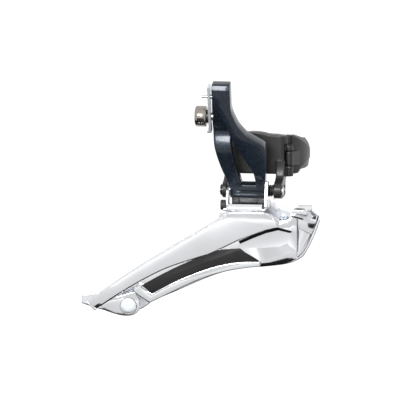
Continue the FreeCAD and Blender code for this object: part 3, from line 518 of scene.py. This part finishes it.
round_off = blade.modifiers.new("smooth_blade", "SUBSURF")
round_off.levels = 2
round_off.render_levels = 2
bpy.ops.object.modifier_apply(modifier=round_off.name)
bpy.ops.object.shade_smooth()

# crossbar under the window, with a shallow ledge along its foot, over the pivot barrel
crossbar = begin("arm_crossbar")
slab([leaned(-12.9, y, z) for y, z in (
    (-32.2, -14.4), (-32.7, -14.1), (-32.7, -13.7), (-33.05, -13.4), (-33.05, -12.5), (-32.7, -12.2),
    (-32.7, -9.9), (-32.0, -8.2), (-27.6, -8.2), (-27.3, -9.0), (-27.3, -14.4))],
     (16.2 * MM, 0.0, 0.0))
bevelled(crossbar, 0.18)
barrel = begin("arm_barrel")
bpy.ops.mesh.primitive_cylinder_add(vertices=48, radius=2.8 * MM, depth=15.9 * MM,
                                    location=(BARREL_X * MM, ARM_MID_Y * MM, ARM_PIVOT_Z * MM),
                                    rotation=(0.0, math.radians(90.0), 0.0))
bevelled(barrel, 0.35)
dress(joined("forged_long_arm", [band, blade, crossbar, barrel]), slate_flake, "arm", "slate_flake", "long_arm")

# lower part of the same lever, below the barrel: a flat web with a slot, down to the foot on the outer cage pin.
# Its satin black, in place of the slate paint, is painted shade for the shade under the crossbar.
FOOT_Y, FOOT_Z = ARM_FOOT
lower = begin("arm_lower_web_painted_shade")
for x0, x1 in ((-12.2, -8.6), (-0.6, 2.9)):
    slab([Vector((x0, y, z)) * MM for y, z in ((-32.2, -11.8), (-27.8, -11.8), (-25.8, -30.4), (-30.2, -30.4))],
         ((x1 - x0) * MM, 0.0, 0.0))
for z0, z1 in ((-20.4, -12.2), (-30.2, -25.2)):
    shift = (ARM_PIVOT_Z - z1) / (ARM_PIVOT_Z - FOOT_Z) * 2.0
    slide = (ARM_PIVOT_Z - z0) / (ARM_PIVOT_Z - FOOT_Z) * 2.0
    slab([Vector((-9.0, y, z)) * MM for y, z in ((-32.1 + shift, z1), (-27.9 + shift, z1), (-27.9 + slide, z0),
                                                 (-32.1 + slide, z0))], (8.8 * MM, 0.0, 0.0))
bpy.ops.mesh.primitive_cylinder_add(vertices=48, radius=2.7 * MM, depth=15.1 * MM,
                                    location=(BARREL_X * MM, FOOT_Y * MM, FOOT_Z * MM),
                                    rotation=(0.0, math.radians(90.0), 0.0))
bevelled(lower, 0.35)
# the black on the lower web is painted shade, not a paint of its own
dress(lower, satin_black, "arm", "satin_black")
bronze = finish("sintered_bronze", (0.5, 0.33, 0.15), 1.0, 0.35)
wear("arm_bushes", bronze)

# Cable clamp on the arm's head: a bright zinc plate hooked over at its foot, a toothed dark washer, a polished socket
# bolt threaded into the arm, and the small pin that guides the cable's end. The bolt's head is turned with a rounded
# rim, a hexagon socket in its end and a small pocket milled in its side, whose floor is a dark plug as painted shade.
polished_steel = finish("polished_steel", (0.34, 0.315, 0.285), 1.0, 0.20, bump=0.006)
pin_steel = finish("ground_pin_steel", (0.55, 0.56, 0.58), 1.0, 0.28, bump=0.006)
wear("cable_plate", zinc_steel)
wear("cable_collar", dark_steel)
wear("cable_guide_pin", pin_steel)
HEAD_FAR, HEAD_NEAR = -27.6, -22.4
HEAD_R = 4.75
CABLE_Z = 24.8
SOCKET_R = 2.5


def ring_x(x, r, count=72):
    """A ring of points about the cable bolt's axis."""
    turns = [2 * math.pi * k / count for k in range(count)]
    return [leaned(x, ARM_MID_Y + r * math.cos(turn), CABLE_Z + r * math.sin(turn)) for turn in turns]


def cut_with(piece, tool):
    """Cut a tool solid out of a piece and discard the tool."""
    bpy.ops.object.select_all(action="DESELECT")
    bpy.context.view_layer.objects.active = piece
    piece.select_set(True)
    bite = piece.modifiers.new("cut", "BOOLEAN")
    bite.operation = "DIFFERENCE"
    bite.solver = "EXACT"
    bite.object = tool
    bpy.ops.object.modifier_apply(modifier=bite.name)
    bpy.data.objects.remove(tool)


bolt = begin("cable_bolt_head")
skin([ring_x(x, r) for x, r in (
    (HEAD_FAR, HEAD_R - 0.75), (HEAD_FAR + 0.2, HEAD_R - 0.3), (HEAD_FAR + 0.7, HEAD_R), (HEAD_NEAR - 0.6, HEAD_R),
    (HEAD_NEAR - 0.15, HEAD_R - 0.25), (HEAD_NEAR, HEAD_R - 0.7), (HEAD_NEAR + 0.06, 1.9), (-19.4, 1.8),
    (-19.2, 1.5))])
end()
socket = begin("socket_tool")
slab(ring_x(HEAD_FAR - 1.0, SOCKET_R, 6), (4.0 * MM, 0.0, 0.0))
end()
cut_with(bolt, socket)
pocket = begin("pocket_tool")
slab([leaned(-26.3, ARM_MID_Y - HEAD_R - 1.0, z) for z in (CABLE_Z - 1.1, CABLE_Z + 1.1)]
     + [leaned(-23.2, ARM_MID_Y - HEAD_R - 1.0, z) for z in (CABLE_Z + 1.1, CABLE_Z - 1.1)],
     leaned(0, 1.7, 0) - leaned(0, 0, 0))
end()
cut_with(bolt, pocket)
# the pocket's floor is a dark plug: painted shade in the pocket
plug = begin("bolt_pocket_painted_shade_plug")
slab([leaned(-26.25, ARM_MID_Y - HEAD_R + 0.15, z) for z in (CABLE_Z - 1.05, CABLE_Z + 1.05)]
     + [leaned(-23.25, ARM_MID_Y - HEAD_R + 0.15, z) for z in (CABLE_Z + 1.05, CABLE_Z - 1.05)],
     leaned(0, 0.5, 0) - leaned(0, 0, 0))
bevelled(plug, 0.1)
dress(plug, dark_steel, "cable_clamp_screw", "dark_steel")
bpy.context.view_layer.objects.active = bolt
bolt.select_set(True)
bpy.ops.object.shade_smooth_by_angle(angle=math.radians(35.0))
dress(bolt, polished_steel, "cable_clamp_screw", "polished_steel", "cable_bolt")

# Linkage: the inner link behind the arm, painted black as painted shade, four ground pins with snapped-on clips, the
# return spring round the outer base pin on its sleeve, and two dark limit screws in the base's crown.
spring_steel = finish("drawn_spring_wire", (0.05, 0.05, 0.055), 0.9, 0.30)
sleeve_black = finish("black_sleeve", (0.012, 0.012, 0.013), 0.0, 0.45, bump=0.05)
for node in ("outer_base_pin", "inner_base_pin", "outer_cage_pin", "inner_cage_pin"):
    wear(node, pin_steel)
for node in ("base_pin_clips", "cage_pin_clips", "low_limit_screw", "high_limit_screw"):
    wear(node, dark_steel)
wear("return_spring", spring_steel)
wear("spring_bush", sleeve_black)
# the inner link's satin black is painted shade for the shade behind the arm
rear_link = softened("inner_link", "cast_inner_link_painted_shade", 0.00025, 3)
dress(rear_link, satin_black, "rear_link", "satin_black", "inner_link")

# Cage bracket: chrome plated steel sheet folded into a deck over the chain, two cheeks for the cage pins and a web
# riveted to the inner plate. A black rubber bumper is pushed on the rear cheek.
chrome = finish("chrome_plate", (0.76, 0.77, 0.79), 1.0, 0.09, spread=0.03, tone=0.03, bump=0.006, scratch=0.03,
                edge=0.0)
bracket = softened("cage_bracket", "folded_cage_bracket", 0.00022, 2)
dress(bracket, chrome, "cage", "chrome_plate", "cage_bracket")
rubber = finish("black_rubber", (0.018, 0.018, 0.018), 0.0, 0.5, bump=0.08)
wear("stop_bumper", rubber)

# Outer cage plate: steel sheet pressed to shape and chrome plated. A raised band sweeps from the deck to the tail, a
# groove below it holds a gloss black strip, a five-sided panel is pressed in at the front, and the nose is folded
# inboard with a slit at the fold. Its foot is turned inboard as a rim, and a strap crosses over to the inner plate.
PLATE_Y = -47.0
BAND_Y = -47.7


def at(y, points):
    """Points given along X and up Z, in millimetres, on the plane at y."""
    return [Vector((p[0], y, p[1])) * MM for p in points]


SWEEP_TOP = [(-10.8, -18.8), (-22.9, -26.3), (-42.6, -38.2), (-61.3, -50.5), (-76.8, -61.9)]
SWEEP_LOW = [(-72.4, -65.2), (-60.4, -57.0), (-51.2, -51.4), (-42.6, -46.8), (-36.0, -44.0), (-26.2, -40.6),
             (-20.3, -38.6), (-14.7, -35.9), (-7.0, -32.0)]
PANEL = [(-7.0, -32.0), (-0.7, -29.6), (5.3, -27.3), (11.2, -25.9)]
raised = begin("plate_sweep")
slab(at(BAND_Y, flowing([SWEEP_TOP, [SWEEP_TOP[-1], SWEEP_LOW[0]], SWEEP_LOW, PANEL, [PANEL[-1], (8.6, -21.0)],
                         [(8.6, -21.0), (4.4, -18.8)], [(4.4, -18.8), SWEEP_TOP[0]]])), (0.0, 1.6 * MM, 0.0))
# past a crease near the tail the band is bent slightly inboard
TAIL_CREASE = Vector((-63.3, 0.0, -56.5)) * MM
CREASE_NORMAL = Vector((2.5, 0.0, 4.6)).normalized()
TAIL_BEND = math.radians(3.5)
bpy.ops.mesh.select_all(action="SELECT")
bpy.ops.mesh.bisect(plane_co=TAIL_CREASE, plane_no=CREASE_NORMAL)
sheet = bmesh.from_edit_mesh(raised.data)
for v in sheet.verts:
    past = (TAIL_CREASE - v.co).dot(CREASE_NORMAL)
    if past > 0.0:
        v.co.y += past * math.tan(TAIL_BEND)
bmesh.update_edit_mesh(raised.data)
bevelled(raised, 0.72, segments=5, limit=20.0)

# lower band under the groove, the back sheet behind everything, and the rim turned inboard along the foot
BOTTOM = [(-47.4, -61.4), (-38.4, -56.9), (-29.2, -52.3), (-20.0, -48.5), (-10.8, -45.9), (-1.7, -44.3), (7.5, -43.4),
          (14.4, -42.4), (19.6, -39.9)]
GROOVE_LOW = [(-46.6, -57.2), (-36.0, -51.4), (-25.5, -46.9), (-16.3, -43.8), (-7.0, -42.0), (2.9, -41.5)]
lower = begin("plate_lower_band")
slab(at(-47.3, flowing([BOTTOM[:6], [BOTTOM[5], (2.9, -43.9)], [(2.9, -43.9), (2.9, -41.5)], GROOVE_LOW[::-1],
                        [GROOVE_LOW[0], (-51.6, -54.6)], [(-51.6, -54.6), (-50.2, -53.0)],
                        [(-50.2, -53.0), (-52.6, -52.6)], [(-52.6, -52.6), (-55.2, -55.6)],
                        [(-55.2, -55.6), (-54.6, -56.9)], [(-54.6, -56.9), (-47.9, -61.6)],
                        [(-47.9, -61.6), BOTTOM[0]]])), (0.0, 1.2 * MM, 0.0))
bevelled(lower, 0.4, segments=3)
back_sheet = begin("plate_back_sheet")
slab(at(-46.4, flowing([SWEEP_TOP[:2] + [(-42.6, -38.4), (-60.4, -50.4)], [(-60.4, -50.4), (-54.4, -55.4)],
                        [(-54.4, -55.4), (-47.6, -60.8)],
                        [(-47.6, -60.8), (-38.4, -56.2), (-20.0, -47.8), (-1.7, -43.8), (14.4, -41.9), (19.6, -39.6)],
                        [(19.6, -39.6), (19.6, -19.6)], [(19.6, -19.6), (17.1, -19.6)],
                        [(17.1, -19.6), (16.3, -21.5), (14.6, -22.8), (12.0, -22.8), (8.2, -20.3)],
                        [(8.2, -20.3), (4.4, -18.9)], [(4.4, -18.9), SWEEP_TOP[0]]])), (0.0, 0.9 * MM, 0.0))
bevelled(back_sheet, 0.2)
rim = begin("plate_rim")
slab(at(-46.7, flowing([BOTTOM, [BOTTOM[-1], (19.3, -38.9)],
                        [(x - 0.3, z + 1.0) for x, z in BOTTOM[::-1]], [(-47.7, -60.4), BOTTOM[0]]])),
     (0.0, 2.8 * MM, 0.0))
bevelled(rim, 0.6, segments=4)


def facets(name, corners, faces):
    """A folded patch of flat facets, thickened inboard. Corners are X, Z and Y of each fold point."""
    patch = begin(name)
    for face in faces:
        trace([Vector((corners[k][0], corners[k][2], corners[k][1])) * MM for k in face])
        bpy.ops.mesh.edge_face_add()
    bpy.ops.mesh.select_all(action="SELECT")
    bpy.ops.mesh.remove_doubles(threshold=0.01 * MM)
    bpy.ops.mesh.normals_make_consistent(inside=False)
    grid = bmesh.from_edit_mesh(patch.data)
    if sum(f.normal.y * f.calc_area() for f in grid.faces) > 0:
        bpy.ops.mesh.flip_normals()
    end()
    wall = patch.modifiers.new("sheet", "SOLIDIFY")
    wall.thickness = 0.5 * MM
    wall.offset = -1.0
    bpy.ops.object.modifier_apply(modifier=wall.name)
    bevelled(patch, 0.10, segments=2, limit=6.0)
    return patch


# front of the sheet: the five-sided pressed panel and the flats that fold away from its corners
FRONT = {
    "a": (-7.0, -32.2, -47.7), "b": (-0.7, -29.2, -47.7), "c": (5.3, -26.9, -47.7), "d": (11.2, -25.5, -47.6),
    "e": (17.2, -27.2, -47.3), "f": (-6.4, -33.6, -46.6), "g": (-0.5, -30.9, -46.6), "h": (5.4, -28.5, -46.6),
    "i": (11.0, -27.0, -46.6), "j": (16.7, -28.2, -46.6), "k": (14.9, -33.0, -46.6), "l": (11.8, -34.7, -46.6),
    "m": (-7.4, -35.6, -46.6), "n": (3.2, -41.4, -47.5), "o": (15.8, -36.9, -47.25), "p": (19.6, -36.6, -47.1),
    "q": (19.6, -27.6, -47.0), "r": (19.6, -39.9, -46.95), "s": (14.4, -42.3, -46.95), "t": (7.5, -43.4, -47.1),
    "u": (2.9, -43.9, -47.2), "v": (19.6, -19.4, -47.0), "w": (17.0, -19.4, -47.0), "x": (16.2, -21.4, -47.0),
    "y": (14.6, -22.7, -47.0), "z": (12.0, -22.7, -47.0),
}
front = facets("plate_front", FRONT, (
    "abgf", "bchg", "cdih", "deji", "fghijklm", "jeqpk", "mln", "lon", "lko", "kpo", "nos", "nst", "ntu", "oprs",
    "deqvwxyz"))

# nose: the same sheet folded inboard past the fold line, with a short slit at the fold and a hooked upper corner
FOLD_X = 19.7
FOLD = math.radians(18.0)


def folded(points, y=PLATE_Y):
    """Points on the flat sheet ahead of the fold, turned inboard with the nose."""
    return [Vector((FOLD_X + (x - FOLD_X) * math.cos(FOLD) - (y - PLATE_Y) * math.sin(FOLD),
                    PLATE_Y + (x - FOLD_X) * math.sin(FOLD) + (y - PLATE_Y) * math.cos(FOLD), z)) * MM
            for x, z in points]


nose = begin("plate_nose")
NOSE = [[(FOLD_X, -20.0), (FOLD_X + 4.6, -20.8)], [(FOLD_X + 4.6, -20.8), (FOLD_X + 4.6, -18.2)],
        [(FOLD_X + 4.6, -18.2), (FOLD_X + 6.3, -18.8)], [(FOLD_X + 6.3, -18.8), (FOLD_X + 6.9, -21.6)],
        [(FOLD_X + 6.9, -21.6), (FOLD_X + 9.2, -22.2)], [(FOLD_X + 9.2, -22.2), (FOLD_X + 9.5, -20.7)],
        [(FOLD_X + 9.5, -20.7), (FOLD_X + 9.4, -21.1)],
        [(FOLD_X + 9.4, -21.1), (FOLD_X + 7.8, -25.8), (FOLD_X + 5.8, -31.0), (FOLD_X + 2.8, -36.4), (FOLD_X, -39.2)],
        [(FOLD_X, -39.2), (FOLD_X, -36.8)], [(FOLD_X, -36.8), (FOLD_X + 0.5, -36.4)],
        [(FOLD_X + 0.5, -36.4), (FOLD_X + 0.9, -27.8)], [(FOLD_X + 0.9, -27.8), (FOLD_X, -27.4)]]
slab(folded(flowing(NOSE)), Vector((-math.sin(FOLD), math.cos(FOLD), 0.0)) * 1.3 * MM)
bevelled(nose, 0.35, segments=3)
# the nose's free edge is rolled inboard, and a cuff lies on it under the strap
EDGE_ROLL = [(9.4, -20.4), (8.9, -22.6), (7.8, -25.8), (5.8, -31.0), (2.8, -36.4), (0.0, -39.2)]
roll = begin("nose_edge_roll")
skin([[Vector((FOLD_X + x * math.cos(FOLD) + dx, PLATE_Y + x * math.sin(FOLD) + dy, z)) * MM
       for dx, dy in ((-0.5, 0.1), (0.0, 0.05), (0.45, 0.35), (0.75, 1.0), (0.8, 2.0), (0.3, 2.1), (-0.5, 1.2))]
      for x, z in flowing([EDGE_ROLL]) + [EDGE_ROLL[-1]]])
end()
bpy.ops.object.shade_smooth_by_angle(angle=math.radians(50.0))
cuff = begin("nose_cuff")
slab(folded([(FOLD_X + 0.3, -20.4), (FOLD_X + 4.7, -21.2), (FOLD_X + 9.0, -22.6), (FOLD_X + 6.6, -29.0),
             (FOLD_X + 0.9, -26.0)], PLATE_Y - 0.35), Vector((-math.sin(FOLD), math.cos(FOLD), 0.0)) * 0.6 * MM)
bevelled(cuff, 0.22, segments=3)
# strap across to the inner plate, and the tail's hooked lip and screw tab
strap = begin("plate_strap")
for corners, push in (
        ([(17.6, -46.8, -17.5), (24.0, -45.4, -17.5), (25.1, -43.7, -17.5), (24.8, -32.5, -17.5), (18.6, -32.5, -17.5)],
         (0.0, 0.0, -1.0)),
        ([(17.4, -46.9, -17.4), (24.3, -46.9, -17.6), (24.3, -46.9, -20.1), (17.4, -46.9, -19.2)], (0.0, 1.1, 0.0)),
        ([(18.6, -33.6, -17.5), (24.8, -33.6, -17.5), (24.8, -33.6, -25.9), (18.6, -33.6, -25.9)], (0.0, 1.1, 0.0))):
    slab([Vector(c) * MM for c in corners], Vector(push) * MM)
bevelled(strap, 0.3, segments=3)
tail = begin("plate_tail_lip")
slab(at(-47.5, [(-77.0, -62.0), (-76.2, -61.4), (-71.9, -64.9), (-72.5, -65.6)]), (0.0, 3.8 * MM, 0.0))
bevelled(tail, 0.25, segments=3)
tab = begin("plate_tail_tab")
slab(at(-45.9, flowing([[(-70.2, -61.6), (-69.8, -65.2)], [(-69.8, -65.2), (-64.4, -67.0)],
                        [(-64.4, -67.0), (-60.0, -67.9), (-55.4, -67.5), (-52.6, -65.0), (-52.4, -61.4)],
                        [(-52.4, -61.4), (-54.4, -56.6)], [(-54.4, -56.6), (-62.0, -55.6)]])),
     (0.0, 1.2 * MM, 0.0))
bevelled(tab, 0.3, segments=3)
outer_plate = joined("pressed_outer_plate", [raised, lower, back_sheet, rim, front, nose, roll, cuff, strap, tail, tab])
dress(outer_plate, chrome, "cage", "chrome_plate", "cage_outer_plate")

# Groove strip: gloss black filling laid in the groove, its upper edge tucked under the raised band. A short piece of
# the same black is laid in the slot in the strap as painted shade, for the dark gap there.
gloss_black = finish("gloss_black_strip_and_painted_shade", (0.008, 0.008, 0.008), 0.0, 0.22, spread=0.05, bump=0.01, edge=0.0,
                     gloss=0.3)
strip = begin("groove_strip")
slab(at(-46.85, flowing([[(-51.4, -53.6), (-38.5, -46.4), (-24.0, -39.6), (-14.8, -36.4)],
                         [(-14.8, -36.4), (-6.4, -35.6)], [(-6.4, -35.6), (2.6, -41.6)],
                         [(2.6, -41.6), (-7.0, -42.3), (-16.3, -44.1), (-25.5, -47.2), (-36.0, -51.7), (-46.6, -57.4)],
                         [(-46.6, -57.4), (-51.4, -53.6)]])), (0.0, 0.45 * MM, 0.0))
bevelled(strip, 0.2, segments=3)
dress(strip, gloss_black, "cage", "gloss_black", "groove_lining")
# painted shade: a thin black piece in the strap's slot stands for the dark gap
slot = begin("strap_slot_painted_shade")
slab(at(-47.45, [(17.2, -19.9), (22.6, -21.3), (22.4, -22.0), (17.0, -20.6)]), (0.0, 0.5 * MM, 0.0))
bevelled(slot, 0.1)
dress(slot, gloss_black, "cage", "gloss_black")

# Inner cage plate and its fittings: a second chromed plate with a raised rib, a nylon rub strip on its chain side,
# solid rivets to the bracket and the strap, and the tail screw through a spacer into a low nut.
inner_plate = softened("cage_inner_plate", "pressed_inner_plate", 0.00024, 2)
satin_chrome = finish("satin_chrome_plate", (0.80, 0.81, 0.84), 1.0, 0.28, spread=0.05, tone=0.04, bump=0.006,
                      edge=0.0)
dress(inner_plate, satin_chrome, "cage", "chrome_plate", "cage_inner_plate")
nylon = finish("black_nylon", (0.02, 0.02, 0.021), 0.0, 0.48, bump=0.07)
wear("skid_pad", nylon)
for node in ("bracket_rivets", "bridge_rivets", "tail_spacer", "tail_nut"):
    wear(node, zinc_steel)
SCREW_X, SCREW_Z = -57.5, -63.4
SCREW_FACE = -47.15


def ring_y(y, r, count=96):
    """A ring of points about the tail screw's axis."""
    turns = [2 * math.pi * k / count for k in range(count)]
    return [Vector((SCREW_X + r * math.cos(turn), y, SCREW_Z + r * math.sin(turn))) * MM for turn in turns]


tail_screw = begin("tail_screw_turned")
skin([ring_y(y, r) for y, r in (
    (SCREW_FACE + 0.9, 0.5), (SCREW_FACE + 0.8, 1.0), (SCREW_FACE + 0.1, 1.5), (SCREW_FACE, 1.9), (SCREW_FACE, 3.2),
    (SCREW_FACE + 0.12, 3.55), (SCREW_FACE + 0.5, 3.85), (SCREW_FACE + 1.2, 3.9), (SCREW_FACE + 1.3, 1.88),
    (-33.4, 1.88), (-33.2, 1.6))])
end()
bpy.ops.object.shade_smooth_by_angle(angle=math.radians(35.0))
pale_steel = finish("pale_zinc_steel", (0.86, 0.91, 0.93), 1.0, 0.28)
dress(tail_screw, pale_steel, "tail_fixing_screw", "polished_steel", "tail_screw")
